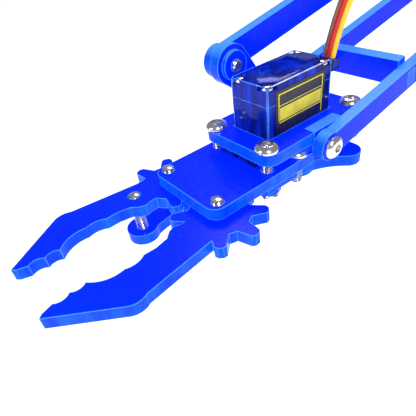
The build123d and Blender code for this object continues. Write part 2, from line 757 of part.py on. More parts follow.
with BuildPart() as gripper_collar_bolts:
    for x, nut_at in ((-COLLAR_BOLT_X, SHEET), (COLLAR_BOLT_X, 2 * SHEET)):
        for y in (-COLLAR_BOLT_Y, COLLAR_BOLT_Y):
            spot = (grip_x - COLLAR_SHIFT + x, y, palm_z + SERVO_EAR_T + SHEET)
            put(button_screw(SERVO_EAR_T + SHEET + nut_at + NUT_H + 0.6), spot)
            put(hex_nut(), (spot[0], y, palm_z - nut_at))
finish(gripper_collar_bolts.part, "gripper_collar_bolts")

with BuildPart() as palm_screws:
    for y in (-1, 1):
        put(button_screw(7.5), (grip_x + PIVOT_X, y * PIVOT_Y, palm_z + CLAW_TOP - SHEET - 0.2), DOWN)
        put(button_screw(8), (grip_x + BRACKET_X, y * BRACKET_Y, palm_z))
finish(palm_screws.part, "palm_screws")

# ---- gripper servo -------------------------------------------------------------------
cover_top = SERVO_EAR_T + SERVO_BELOW
gripper_servo_case = servo_case(gripper_plane, SERVO_BELOW - SERVO_COVER - 0.1)
finish(gripper_servo_case, "gripper_servo_case")

CASE_SCREW_X = SERVO_L / 2 - 1.7
CASE_SCREW_Y = SERVO_W / 2 - 1.7
POCKET = 3.3                     # corner pockets of the cover
POCKET_DEEP = 1.3

with BuildPart() as gripper_servo_cover:
    with BuildSketch(palm(cover_top - SERVO_COVER)):
        Rectangle(SERVO_L, SERVO_W)
    extrude(amount=SERVO_COVER)
    chamfer(gripper_servo_cover.edges().filter_by(Axis.Z), 0.5)
    with BuildSketch(palm(cover_top)):
        with GridLocations(SERVO_L - POCKET, SERVO_W - POCKET, 2, 2):
            Rectangle(POCKET, POCKET)
    extrude(amount=-POCKET_DEEP, mode=Mode.SUBTRACT)
    with BuildSketch(palm(cover_top)):
        Rectangle(12.4, 9.0)
    with BuildSketch(palm(cover_top + 0.7)):
        Rectangle(10.6, 6.4)
    loft()
    with BuildSketch(palm(cover_top - SERVO_COVER)):
        with GridLocations(2 * CASE_SCREW_X, 2 * CASE_SCREW_Y, 2, 2):
            Circle(0.8)
    extrude(amount=SERVO_COVER, mode=Mode.SUBTRACT)
    with BuildSketch(palm(cover_top - 3.4)):
        with Locations((-SERVO_L / 2 - 1.35, 3.9)):
            Rectangle(2.7, 4.6)
    extrude(amount=2.8)
finish(gripper_servo_cover.part, "gripper_servo_cover")

with BuildPart() as servo_case_screws:
    with BuildSketch(palm(cover_top - SERVO_COVER)):
        with GridLocations(2 * CASE_SCREW_X, 2 * CASE_SCREW_Y, 2, 2):
            Circle(0.8)
    extrude(amount=SERVO_COVER - POCKET_DEEP)
    with BuildSketch(palm(cover_top - POCKET_DEEP)):
        with GridLocations(2 * CASE_SCREW_X, 2 * CASE_SCREW_Y, 2, 2):
            Circle(1.4)
    extrude(amount=1.1)
finish(servo_case_screws.part, "servo_case_screws")

# ---- claws ---------------------------------------------------------------------------
TOOTH_BASE = 1.95                # half widths of a tooth
TOOTH_TIP = 1.35


def claw_outline(phase, arm_teeth):
    """Claw around its pivot: x towards the tips, y away from the other claw."""
    with BuildLine() as edge:
        Polyline((7, -3.4), (8.5, -3.4), (10, -3.9), (11.6, -3.3), (13.2, -1.8), (16.5, -1.1), (19.5, -1.2))
        ThreePointArc((19.5, -1.2), (22.6, -0.2), (24.4, -0.6))
        ThreePointArc((24.4, -0.6), (27.2, -0.5), (31.8, -3.2))
        ThreePointArc((31.8, -3.2), (33.6, -2.45), (35.3, -3.1))
        ThreePointArc((35.3, -3.1), (37.1, -2.2), (38.9, -2.8))
        Polyline((38.9, -2.8), (41.3, -2.0), (42.1, -1.2), (29.0, 7.8))
        ThreePointArc((29.0, 7.8), (26.8, 8.6), (24.4, 8.0))
        Polyline((24.4, 8.0), (15, 6.8), (7, 5.8), (0, 5.8), (0, -3.4), (7, -3.4))
    make_face(edge.edges())
    Circle(CLAW_ROOT_R)
    for number in range(CLAW_TEETH):
        if number not in arm_teeth:
            with Locations(Location((0, 0), phase - 90 + number * 360 / CLAW_TEETH)):
                Polygon((5, -TOOTH_BASE - 0.2), (CLAW_ROOT_R, -TOOTH_BASE), (CLAW_TIP_R - 0.6, -TOOTH_TIP),
                        (CLAW_TIP_R, -0.6), (CLAW_TIP_R, 0.6), (CLAW_TIP_R - 0.6, TOOTH_TIP),
                        (CLAW_ROOT_R, TOOTH_BASE), (5, TOOTH_BASE + 0.2), align=None)
    Circle(RUN_R, mode=Mode.SUBTRACT)


def claw_plane(y, outward):
    """Plane of a claw's top face at its pivot, its y pointing away from the other claw."""
    return Plane(origin=(grip_x + PIVOT_X, y, palm_z + CLAW_TOP), x_dir=(1, 0, 0), z_dir=(0, 0, outward))


with BuildPart() as claw_left:
    with BuildSketch(claw_plane(PIVOT_Y, 1)):
        claw_outline(LEFT_PHASE, (2,))
    extrude(amount=-SHEET)
finish(claw_left.part, "claw_left")

with BuildPart() as claw_right:
    with BuildSketch(claw_plane(-PIVOT_Y, -1)):
        claw_outline(RIGHT_PHASE, (1, 2))
        holes([(CRANK_X, CRANK_Y)], RUN_R)
    extrude(amount=SHEET)
finish(claw_right.part, "claw_right")

# ---- gripper drive: horn, lever and the link to the right claw ------------------------
shaft = Vector(-SERVO_SHAFT_X, 0)
crank = Vector(CRANK_X, -CRANK_Y)
pin_rear = shaft + crank
pin_front = Vector(PIVOT_X, -PIVOT_Y) + crank

gripper_horn = servo_horn(gripper_plane, Vector(-8, -1.44), 2.2, 4.0)
finish(gripper_horn, "gripper_horn")

with BuildPart() as grip_lever:
    with BuildSketch(palm(LEVER_TOP - LEVER_T)):
        with Locations(shaft):
            Circle(5.5)
        with Locations(pin_rear):
            Circle(EYE_R)
        make_hull()
        holes([shaft], 1.0)
        holes([pin_rear], RUN_R)
    extrude(amount=LEVER_T)
finish(grip_lever.part, "grip_lever")

LINK_R = 4.2
with BuildPart() as grip_link:
    with BuildSketch(palm(LINK_TOP - SHEET)):
        with BuildLine():
            ThreePointArc(pin_rear, (23, -12.5), pin_front)
        trace(line_width=2 * LINK_R - 1)
        with Locations(pin_rear, pin_front):
            Circle(LINK_R)
        holes([pin_rear, pin_front], SCREW_R)
    extrude(amount=SHEET)
finish(grip_link.part, "grip_link")

with BuildPart() as grip_link_screws:
    low = palm_z + LINK_TOP - SHEET
    put(button_screw(LEVER_TOP - 0.1 - LINK_TOP + SHEET), (grip_x + pin_rear.X, pin_rear.Y, low), DOWN)
    put(button_screw(CLAW_TOP + 0.4 - LINK_TOP + SHEET), (grip_x + pin_front.X, pin_front.Y, low), DOWN)
finish(grip_link_screws.part, "grip_link_screws")

# ---- gripper servo lead ---------------------------------------------------------------
ARC_SHARE = 0.45                 # share of the shorter run that an arc uses
HANK_FROM, HANK_TO = 70.1, 103.0  # put-away length, back from the wrist axis
HANK_HALF = 5.0
HANK_Y = 7.3
FLAT_W = 3.6                     # width of the flat three-core lead
MOUNT_AT = 78.0

# Route in the gripper's frame, from the servo's cover over the wrist to the hank
lead_route = [(-12.8, 3.9, 17.8), (-12.8, 5.5, 26.0), (-15.0, 8.6, 37.5), (-27.0, 9.4, 47.0),
              (-43.0, 8.6, 42.0), (-50.0, 7.8, 26.0), (-57.3, 7.3, 16.1), (-69.1, 7.3, 18.5)]


def arc_radii(points):
    """Largest radius that each corner of a route has room for."""
    radii = []
    for before, corner, after in zip(points, points[1:], points[2:]):
        turn = (corner - before).get_angle(after - corner)
        shorter = min((corner - before).length, (after - corner).length)
        radii.append(ARC_SHARE * shorter / tan(radians(turn / 2)))
    return radii


lead_points = [Vector(*point) + Vector(grip_x, 0, palm_z) for point in lead_route]
lead_radii = arc_radii(lead_points)
print("lead radii", [round(radius, 1) for radius in lead_radii])

with BuildPart() as gripper_servo_lead:
    with BuildLine() as lead_path:
        FilletPolyline(*lead_points, radius=lead_radii)
    with BuildSketch(lead_path.line ^ 0):
        Circle(LEAD_R)
    sweep()
lead_length = sum(edge.length for edge in lead_path.edges())
print("lead length", round(lead_length, 1))
print("lead volume", round(gripper_servo_lead.part.volume, 1))
print("section by length", round(pi * LEAD_R ** 2 * lead_length, 1))
finish(gripper_servo_lead.part, "gripper_servo_lead")


def beside_forearm(back, y):
    """Upright plane along the forearm: x runs back from the wrist, y up, extrude goes to +Y."""
    at = wrist - polar(back, FORE_DEG)
    rearward = polar(-1, FORE_DEG)
    return Plane(origin=(at.X, y, at.Y), x_dir=(rearward.X, 0, rearward.Y), z_dir=(0, 1, 0))


with BuildPart() as lead_hank:
    with BuildSketch(beside_forearm(HANK_FROM, HANK_Y - FLAT_W / 2)):
        straight = HANK_TO - HANK_FROM - HANK_HALF
        with Locations((straight / 2, 0)):
            Rectangle(straight, 2 * HANK_HALF)
        with Locations((straight, 0)):
            Circle(HANK_HALF)
    extrude(amount=FLAT_W)
finish(lead_hank.part, "lead_hank")

with BuildPart() as lead_connector:
    with BuildSketch(beside_forearm(HANK_FROM - 7, HANK_Y + 0.5 - 3.8)):
        with Locations((0, -3)):
            Rectangle(14, 2.5)
    extrude(amount=7.6)
finish(lead_connector.part, "lead_connector")

with BuildPart() as lead_tie_mount:
    with BuildSketch(beside_forearm(MOUNT_AT, HANK_Y + FLAT_W / 2)):
        RectangleRounded(11, 6, 1)
    extrude(amount=FORE_Y - SHEET - HANK_Y - FLAT_W / 2)
    with BuildSketch(beside_forearm(MOUNT_AT, HANK_Y + FLAT_W / 2 + 0.9)):
        Rectangle(3, 8)
    extrude(amount=1.2, mode=Mode.SUBTRACT)
finish(lead_tie_mount.part, "lead_tie_mount")
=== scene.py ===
import json
from math import cos, pi, radians, sin

import bpy
from mathutils import Matrix, Vector


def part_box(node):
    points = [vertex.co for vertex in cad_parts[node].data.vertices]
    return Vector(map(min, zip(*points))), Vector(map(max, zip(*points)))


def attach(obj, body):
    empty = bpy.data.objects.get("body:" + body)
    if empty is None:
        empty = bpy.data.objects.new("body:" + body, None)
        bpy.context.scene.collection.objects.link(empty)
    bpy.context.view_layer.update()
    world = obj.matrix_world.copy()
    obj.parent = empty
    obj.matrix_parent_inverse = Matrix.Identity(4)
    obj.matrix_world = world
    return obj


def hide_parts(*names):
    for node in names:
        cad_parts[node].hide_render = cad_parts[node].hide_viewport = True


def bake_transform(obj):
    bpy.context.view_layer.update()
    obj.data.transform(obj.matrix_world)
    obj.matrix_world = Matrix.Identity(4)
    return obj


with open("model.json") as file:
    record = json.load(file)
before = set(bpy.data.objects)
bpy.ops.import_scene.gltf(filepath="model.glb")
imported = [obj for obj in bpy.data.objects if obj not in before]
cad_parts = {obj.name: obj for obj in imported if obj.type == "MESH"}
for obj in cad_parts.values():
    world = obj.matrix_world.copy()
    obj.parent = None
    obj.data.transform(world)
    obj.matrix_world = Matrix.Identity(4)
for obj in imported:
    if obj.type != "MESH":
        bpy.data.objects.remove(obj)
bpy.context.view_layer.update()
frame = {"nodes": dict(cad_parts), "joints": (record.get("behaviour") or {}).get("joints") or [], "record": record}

MM = 0.001

# ---- places, from the frame ---------------------------------------------------------------
servo_low, servo_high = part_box("gripper_servo_case")
palm_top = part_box("palm_plate")[1][2]
grip_origin = Vector(((servo_low[0] + servo_high[0]) / 2, 0, palm_top))
joint_at = {joint["name"]: Vector(joint["pos_m"]) for joint in frame["joints"]}
wrist = joint_at["wrist"]
forward_along_forearm = (wrist - joint_at["elbow"]).normalized()
up_from_forearm = Vector((-forward_along_forearm.z, 0, forward_along_forearm.x))


def grip(x, y, z):
    """Point in the gripper's own frame, given in millimetres from the middle of its servo."""
    return grip_origin + Vector((x, y, z)) * MM


def beside_forearm(back, up, y):
    """Point given in millimetres back from the wrist axis, up from the forearm's line, and to the left."""
    return wrist - forward_along_forearm * back * MM + up_from_forearm * up * MM + Vector((0, y * MM, 0))


# ---- camera -------------------------------------------------------------------------------
CAMERA_AT = (72.016, 65.846, 53.303)   # in the gripper's frame
CAMERA_AZIMUTH = -124.085              # direction of view, from +X
CAMERA_DOWN = 38.16
CAMERA_ROLL = -8.33
LENS = 34.27
SENSOR_WIDTH = 36
CLIP_NEAR, CLIP_FAR = 0.004, 50        # metres


def make_camera():
    """The camera that the photo was taken with, as it was fitted to the parts in view."""
    data = bpy.data.cameras.new("camera")
    data.sensor_width = SENSOR_WIDTH
    data.lens = LENS
    data.clip_start = CLIP_NEAR
    data.clip_end = CLIP_FAR
    camera = bpy.data.objects.new("camera", data)
    down, turn, roll = radians(CAMERA_DOWN), radians(CAMERA_AZIMUTH), radians(CAMERA_ROLL)
    view = Vector((cos(down) * cos(turn), cos(down) * sin(turn), -sin(down)))
    level = view.cross(Vector((0, 0, 1))).normalized()
    right = level * cos(roll) + level.cross(view) * sin(roll)
    up = right.cross(view)
    turned_to_view = Matrix((right, up, -view)).transposed().to_4x4()
    camera.matrix_world = Matrix.Translation(grip(*CAMERA_AT)) @ turned_to_view
    bpy.context.scene.collection.objects.link(camera)
    bpy.context.scene.camera = camera


make_camera()
bpy.context.scene.view_settings.view_transform = "Standard"


# ---- mesh helpers -------------------------------------------------------------------------
EASE = 0.12                            # inset of a slab's outer face, as a share of its thickness
EASE_FROM = 0.7                        # where the inset starts, as a share of the thickness


def add_piece(name, points, faces, materials, indices=None, sharp=35):
    """Mesh object, smooth but for edges sharper than an angle, with one material number for each face."""
    mesh = bpy.data.meshes.new(name)
    mesh.from_pydata([tuple(point) for point in points], [], faces)
    for material in materials:
        mesh.materials.append(material)
    if indices:
        mesh.polygons.foreach_set("material_index", indices)
    mesh.validate()
    mesh.shade_smooth()
    mesh.set_sharp_from_angle(angle=radians(sharp))
    piece = bpy.data.objects.new(name, mesh)
    bpy.context.scene.collection.objects.link(piece)
    return piece


def loft(rings, closed=False):
    """Points and faces of a skin over rings of equal count, with flat ends unless it closes on itself."""
    count = len(rings[0])
    points = [point for ring in rings for point in ring]
    faces = []
    last = len(rings) if closed else len(rings) - 1
    for row in range(last):
        below, above = row * count, (row + 1) % len(rings) * count
        for k in range(count):
            nxt = (k + 1) % count
            faces.append((below + k, below + nxt, above + nxt, above + k))
    if not closed:
        faces.append(tuple(reversed(range(count))))
        faces.append(tuple(range((len(rings) - 1) * count, len(rings) * count)))
    return points, faces


def joined(parts):
    """One point and face list from several, with each part's number repeated for its faces."""
    points, faces, numbers = [], [], []
    for number, (more_points, more_faces) in parts:
        start = len(points)
        points += more_points
        faces += [tuple(start + k for k in face) for face in more_faces]
        numbers += [number] * len(more_faces)
    return points, faces, numbers


def slab(corner, across, up, out):
    """Box from a corner and three edge vectors, with the edges of its outer face eased."""
    rings = []
    for depth, inset in ((0, 0), (EASE_FROM, 0), (1, EASE * out.length)):
        a, b = across.normalized() * inset, up.normalized() * inset
        base = corner + out * depth
        rings.append([base + a + b, base + across - a + b, base + across + up - a - b, base + up + a - b])
    return loft(rings)


def sweep(path, profile, closed=False, sideways=Vector((0, 1, 0))):
    """Skin of a flat profile of (sideways, normal) offsets carried along a path."""
    rings = []
    count = len(path)
    for k, point in enumerate(path):
        before = path[(k - 1) % count] if closed or k else path[0]
        after = path[(k + 1) % count] if closed or k < count - 1 else path[-1]
        along = (after - before).normalized()
        side = (sideways - along * sideways.dot(along)).normalized()
        normal = along.cross(side)
        rings.append([point + side * a + normal * b for a, b in profile])
    return loft(rings, closed)


def round_profile(radius, count, side=0.0):
    """Circle for sweep to carry, set off to the side."""
    angles = [2 * pi * k / count for k in range(count)]
    return [(side + radius * cos(angle), radius * sin(angle)) for angle in angles]


# ---- materials ----------------------------------------------------------------------------
class Shader:
    """A principled material with short ways to add the procedural nodes that the looks need."""

    def __init__(self, name, **sockets):
        self.material = bpy.data.materials.new(name)
        self.material.use_nodes = True
        self.tree = self.material.node_tree
        self.bsdf = self.tree.nodes["Principled BSDF"]
        for socket, value in sockets.items():
            self.bsdf.inputs[socket.replace("_", " ")].default_value = value

    def node(self, kind, **settings):
        node = self.tree.nodes.new(kind)
        for key, value in settings.items():
            setattr(node, key, value)
        return node

    def link(self, output, target):
        self.tree.links.new(output, target)

    def coordinates(self, stretch=(1, 1, 1)):
        source = self.node("ShaderNodeTexCoord")
        mapping = self.node("ShaderNodeMapping")
        mapping.inputs["Scale"].default_value = stretch
        self.link(source.outputs["Object"], mapping.inputs["Vector"])
        return mapping.outputs["Vector"]

    def noise(self, scale, detail=3.0, stretch=(1, 1, 1)):
        node = self.node("ShaderNodeTexNoise")
        node.inputs["Scale"].default_value = scale
        node.inputs["Detail"].default_value = detail
        self.link(self.coordinates(stretch), node.inputs["Vector"])
        return node.outputs["Fac"]

    def spread(self, value, low, high, start=0.3, end=0.7):
        node = self.node("ShaderNodeMapRange")
        for socket, number in (("From Min", start), ("From Max", end), ("To Min", low), ("To Max", high)):
            node.inputs[socket].default_value = number
        self.link(value, node.inputs["Value"])
        return node.outputs["Result"]

    def blend(self, factor, first, second):
        node = self.node("ShaderNodeMix", data_type="RGBA")
        colours = [socket for socket in node.inputs if socket.type == "RGBA"]
        self.link(factor, node.inputs["Factor"])
        for socket, colour in zip(colours, (first, second)):
            if isinstance(colour, tuple):
                socket.default_value = (*colour, 1)
            else:
                self.link(colour, socket)
        return next(socket for socket in node.outputs if socket.type == "RGBA")

    def corner(self, radius):
        """Nearly 1 within a radius of a corner of the shape, and 0 away from its corners."""
        rounded = self.node("ShaderNodeBevel", samples=6)
        rounded.inputs["Radius"].default_value = radius
        facet = self.node("ShaderNodeNewGeometry")
        agree = self.node("ShaderNodeVectorMath", operation="DOT_PRODUCT")
        self.link(rounded.outputs["Normal"], agree.inputs[0])
        self.link(facet.outputs["True Normal"], agree.inputs[1])
        on_face, on_corner = 0.99, 0.86    # how far the two normals agree there
        return self.spread(agree.outputs["Value"], 0, 1, on_face, on_corner)

    def colour(self, output):
        self.link(output, self.bsdf.inputs["Base Color"])

    def roughness(self, output):
        self.link(output, self.bsdf.inputs["Roughness"])

    def bump(self, height, distance, strength=1.0):
        node = self.node("ShaderNodeBump")
        node.inputs["Distance"].default_value = distance
        node.inputs["Strength"].default_value = strength
        self.link(height, node.inputs["Height"])
        self.link(node.outputs["Normal"], self.bsdf.inputs["Normal"])


ACRYLIC = (0.0, 0.022, 0.98)           # faces of the sheet, in two tones
ACRYLIC_DEEP = (0.0, 0.014, 0.80)
ACRYLIC_EDGE = (0.0, 0.034, 0.88)      # cut edges, in two tones
ACRYLIC_RIM = (0.004, 0.095, 0.98)
PAINTED_UP_EDGE_HIGHLIGHT = (0.05, 0.22, 0.98)       # painted highlight on cut edges that face up
PAINTED_CORNER_HIGHLIGHT = (0.05, 0.30, 1.0)       # painted highlight line along the corner between a face and a cut edge
PAINTED_HIGHLIGHT_WIDTH = 0.0004                # width of that painted highlight line, in metres
# width of the painted shade along a screw's corners and socket edges, in metres
PAINTED_STEEL_SHADE_WIDTH = 0.0003


def acrylic(name, axis):
    """Glossy acrylic sheet that lies square to an axis, with its cut edges lighter than its faces, a painted glow,
    a painted highlight on cut edges that face up and a painted highlight line along its corners.
    """
    shader = Shader(name, IOR=1.49, Specular_IOR_Level=0.08, Emission_Strength=0.36)
    face = shader.blend(shader.spread(shader.noise(38, 2), 0, 1), ACRYLIC, ACRYLIC_DEEP)
    cut_marks = shader.spread(shader.noise(260, 3, (1, 1, 0.3)), 0, 1)
    edge = shader.blend(cut_marks, ACRYLIC_EDGE, ACRYLIC_RIM)
    # Cut edges that face up are blended towards a painted highlight.
    world = shader.node("ShaderNodeSeparateXYZ")
    shader.link(shader.node("ShaderNodeNewGeometry").outputs["Normal"], world.inputs["Vector"])
    edge = shader.blend(shader.spread(world.outputs["Z"], 0, 1, start=0.5, end=0.98), edge, PAINTED_UP_EDGE_HIGHLIGHT)
    source = shader.node("ShaderNodeTexCoord")
    facing = shader.node("ShaderNodeVectorMath", operation="DOT_PRODUCT")
    facing.inputs[1].default_value = axis
    shader.link(source.outputs["Normal"], facing.inputs[0])
    size = shader.node("ShaderNodeMath", operation="ABSOLUTE")
    shader.link(facing.outputs["Value"], size.inputs[0])
    on_edge = shader.spread(size.outputs["Value"], 1, 0, start=0.55, end=0.95)
    sheet = shader.blend(on_edge, face, edge)
    # Painted highlight line along every corner of the sheet.
    colour = shader.blend(shader.corner(PAINTED_HIGHLIGHT_WIDTH), sheet, PAINTED_CORNER_HIGHLIGHT)
    shader.colour(colour)
    # The sheet emits its own colour: a painted glow that keeps it bright blue in shade.
    shader.link(colour, shader.bsdf.inputs["Emission Color"])
    shader.roughness(shader.spread(shader.noise(900, 4), 0.16, 0.32))
    stretch = tuple(0.25 if abs(part) > 0.5 else 1.0 for part in axis)
    shader.bump(shader.noise(1500, 3, stretch), distance=0.00004, strength=0.15)
    return shader.material


def servo_plastic():
    """Dark blue case that looks translucent: clouds and streaks of lighter blue under a thin gloss, and a painted
    glow in the same colours.
    """
    shader = Shader("servo_plastic", IOR=1.5, Specular_IOR_Level=0.1, Coat_Weight=0.04, Coat_Roughness=0.04,
                    Emission_Strength=0.16)
    dark, cloudy, streaked = (0.001, 0.003, 0.06), (0.003, 0.014, 0.30), (0.002, 0.03, 0.60)
    clouds = shader.spread(shader.noise(170, 4, (1, 1, 0.45)), 0, 1, start=0.35, end=0.72)
    streaks = shader.spread(shader.noise(420, 2, (1, 1, 0.12)), 0, 1, start=0.45, end=0.75)
    colour = shader.blend(streaks, shader.blend(clouds, dark, cloudy), streaked)
    shader.colour(colour)
    # The case emits its own colour: a painted glow.
    shader.link(colour, shader.bsdf.inputs["Emission Color"])
    shader.roughness(shader.spread(shader.noise(700, 3), 0.05, 0.16))
    shader.bump(shader.noise(300, 2), distance=0.00008, strength=0.3)
    return shader.material


def plain(name, first, second, scale, rough, bump, **sockets):
    """Moulded or printed surface: two colours in noise, uneven gloss and a fine bump."""
    shader = Shader(name, **sockets)
    shader.colour(shader.blend(shader.spread(shader.noise(scale, 3), 0, 1), first, second))
    shader.roughness(shader.spread(shader.noise(scale * 2.3, 4), *rough))
    shader.bump(shader.noise(scale * 4, 3), bump, strength=0.5)
    return shader.material


def polished_steel():
    """Nickel-plated screw: bright metal with haze and faint turning marks, a faint painted glow, and painted shade
    along its corners.
    """
    # A faint white emission gives the metal a painted glow.
    shader = Shader("polished_steel", Metallic=1.0, Emission_Strength=0.02)
    shader.bsdf.inputs["Emission Color"].default_value = (1, 0.97, 0.93, 1)
    haze = shader.spread(shader.noise(500, 4), 0, 1)
    bright, hazy, dark = (0.90, 0.87, 0.82), (0.70, 0.66, 0.61), (0.09, 0.07, 0.055)
    metal = shader.blend(haze, bright, hazy)
    # Painted shade along the head's corners and the socket's edges.
    shader.colour(shader.blend(shader.corner(PAINTED_STEEL_SHADE_WIDTH), metal, dark))
    shader.roughness(shader.spread(shader.noise(800, 4), 0.1, 0.26))
    shader.bump(shader.noise(2600, 2, (1, 1, 4)), distance=0.00003, strength=0.4)
    return shader.material


UPPER_AXIS = tuple((joint_at["elbow"] - joint_at["shoulder"]).normalized())
acrylic_by_axis = {
    "x": acrylic("acrylic_across", (1, 0, 0)),
    "y": acrylic("acrylic_upright", (0, 1, 0)),
    "z": acrylic("acrylic_flat", (0, 0, 1)),
    "upper": acrylic("acrylic_upper_brace", UPPER_AXIS),
    "forearm": acrylic("acrylic_forearm_brace", tuple(forward_along_forearm)),
}
case_plastic = servo_plastic()
# Painted glints, dark blue to cyan, for the servos' edge beads and cover ribs.
case_glint = plain("case_glint", (0.002, 0.010, 0.26), (0.03, 0.26, 0.90), 240, (0.04, 0.12), 0.00003,
                   Coat_Weight=0.2)
# Near-white painted highlight line for the top edge on each servo's label side.
case_highlight_line = plain("case_highlight_line", (0.10, 0.13, 0.55), (0.85, 0.88, 1.0), 320, (0.04, 0.12), 0.00003,
                 Coat_Weight=0.3)
nylon = plain("white_nylon", (0.84, 0.84, 0.80), (0.76, 0.76, 0.71), 260, (0.35, 0.5), 0.00005)
steel = polished_steel()
black_print = plain("label_black", (0.006, 0.005, 0.006), (0.02, 0.017, 0.01), 500, (0.26, 0.4), 0.00002)
yellow_print = plain("label_yellow", (0.95, 0.80, 0.01), (0.80, 0.64, 0.01), 420, (0.3, 0.45), 0.00002)
gold_print = plain("label_gold", (0.55, 0.45, 0.01), (0.90, 0.78, 0.01), 160, (0.3, 0.42), 0.00002)
core_brown = plain("core_brown", (0.20, 0.055, 0.03), (0.30, 0.09, 0.05), 300, (0.32, 0.45), 0.00005)
core_red = plain("core_red", (0.80, 0.02, 0.02), (0.62, 0.012, 0.015), 300, (0.32, 0.45), 0.00005)
core_yellow = plain("core_yellow", (0.95, 0.62, 0.02), (0.85, 0.50, 0.01), 300, (0.32, 0.45), 0.00005)
plug_black = plain("plug_black", (0.014, 0.014, 0.015), (0.03, 0.03, 0.032), 350, (0.4, 0.6), 0.00006)
tie_white = plain("tie_white", (0.78, 0.78, 0.74), (0.68, 0.68, 0.64), 350, (0.35, 0.5), 0.00005)


def dress_nodes():
    """Give every CAD node the finish of its material slot."""
    by_slot = {row["node"]: row["material_slot"] for row in frame["record"]["subparts"]}
    finishes = {"servo_case": case_plastic, "horn": nylon, "screws": steel, "cable": core_red,
                "connector": plug_black}
    for name, node in frame["nodes"].items():
        slot = by_slot.get(name, "acrylic")
        if slot == "acrylic":
            low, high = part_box(name)
            size = [high[k] - low[k] for k in range(3)]
            axis = "xyz"[size.index(min(size))]
            axis = {"upper_arm_brace": "upper", "forearm_braces": "forearm"}.get(name, axis)
            finish = acrylic_by_axis[axis]
        else:
            finish = finishes[slot]
        node.data.materials.clear()
        node.data.materials.append(finish)


dress_nodes()

# ---- servo lead: one flat three-core cord from the servo to its plug ------------------------
CORE_R = 0.62
CORE_GAP = 1.16                        # between the middles of neighbouring cores
CORE_SIDES = 10
ROUTE_STEPS = 10                       # fineness of the curve along the route
FOLD_Y = 7.3

# The route of the CAD tube, in the gripper's frame
LEAD_ROUTE = [(-12.8, 3.9, 17.8), (-12.8, 5.5, 26.0), (-15.0, 8.6, 37.5), (-27.0, 9.4, 47.0),
              (-43.0, 8.6, 42.0), (-50.0, 7.8, 26.0), (-57.3, 7.3, 16.1), (-69.1, 7.3, 18.5)]
# The folded spare length goes on from there: back from the wrist and up from the forearm's line
LEAD_FOLD = [(74.5, 1.6), (78.5, 0.7), (84.0, 2.2), (92.0, 4.3), (100.5, 4.1), (102.6, 0.0),
             (100.5, -4.1), (92.0, -4.3), (84.0, -2.4), (78.5, -1.0), (74.5, -2.0), (70.0, -3.0)]


def route_points(points):
    """Points along the smooth curve that a route's points control."""
    curve = bpy.data.curves.new("route", "CURVE")
    curve.dimensions = "3D"
    curve.resolution_u = ROUTE_STEPS
    spline = curve.splines.new("NURBS")
    spline.points.add(len(points) - 1)
    for control, point in zip(spline.points, points):
        control.co = (*point, 1)
    spline.order_u = 3
    spline.use_endpoint_u = True
    holder = bpy.data.objects.new("route", curve)
    line = bpy.data.meshes.new_from_object(holder)
    path = [vertex.co.copy() for vertex in line.vertices]
    bpy.data.objects.remove(holder)
    bpy.data.curves.remove(curve)
    bpy.data.meshes.remove(line)
    return path


def make_lead():
    """The three cores side by side, from the servo's exit over the wrist and through the folded part."""
    route = [grip(*point) for point in LEAD_ROUTE]
    route += [beside_forearm(back, up, FOLD_Y) for back, up in LEAD_FOLD]
    path = route_points(route)
    cores = []
    for number in range(3):
        offset = (number - 1) * CORE_GAP * MM
        cores.append((number, sweep(path, round_profile(CORE_R * MM, CORE_SIDES, offset))))
    points, faces, numbers = joined(cores)
    lead = add_piece("servo_lead", points, faces, [core_brown, core_red, core_yellow], numbers, sharp=60)
    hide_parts("gripper_servo_lead", "lead_hank")
    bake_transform(lead)


make_lead()

TIE_BACK = 78                          # from the wrist axis
TIE_HALF_W, TIE_HALF_T = 1.2, 0.22


def make_tie():
    """Nylon tie round the folded lead and through the mount on the beam."""
    along = forward_along_forearm
    corners = [(-1.9, 5.0), (-2.2, 6.6), (-2.2, 9.0), (-1.9, 10.6), (0.0, 10.75), (1.9, 10.6), (2.2, 9.0),
               (2.2, 6.6), (1.9, 5.0), (0.0, 4.75)]
    loop = [beside_forearm(TIE_BACK, up, y) for up, y in corners]
    wide, thick = TIE_HALF_W * MM, TIE_HALF_T * MM
    profile = [(-wide, -thick), (wide, -thick), (wide, thick), (-wide, thick)]
    band = sweep(loop, profile, closed=True, sideways=along)
    lock_long, lock_high, lock_deep = along * 3.6 * MM, up_from_forearm * 3.2 * MM, Vector((0, -2.0 * MM, 0))
    lock = slab(beside_forearm(TIE_BACK + 1.8, -1.6, 5.0), lock_long, lock_high, lock_deep)
    points, faces, _ = joined([(0, band), (0, lock)])
    tie = add_piece("cable_tie", points, faces, [tie_white])
    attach(tie, "forearm")


make_tie()

# ---- screws with real threads and sockets ---------------------------------------------------
SEGMENTS = 36
PITCH = 0.5
THREAD_R = 1.5
THREAD_ROOT = 1.24
THREAD_STEEP = 1.35                    # above 1 cuts the thread's crest flat
THREAD_STEPS = 6                       # rings to each turn of the thread
TIP_R, TIP_H = 0.85, 0.3
HEAD_R = 2.9
HEAD_H = 1.7
SOCKET = 1.0                           # half the width across the socket's flats
SOCKET_DEEP = 1.0
DRILL_R, DRILL_DEEP = 0.25, 0.2        # drill point below the socket's floor

# Radius and height above the head's seat, from the shank up over the head
HEAD_PROFILE = ((THREAD_R, -0.15), (THREAD_R, 0), (HEAD_R - 0.12, 0), (HEAD_R, 0.12), (HEAD_R, 0.5),
                (HEAD_R * 0.95, 0.86), (HEAD_R * 0.86, 1.2), (HEAD_R * 0.72, 1.48),
                (HEAD_R * 0.56, HEAD_H - 0.05), (HEAD_R * 0.5, HEAD_H))
# Half the width across the flats and height, from the socket's chamfer down to its floor
SOCKET_PROFILE = ((SOCKET + 0.08, HEAD_H), (SOCKET, HEAD_H - 0.08), (SOCKET, HEAD_H - SOCKET_DEEP))


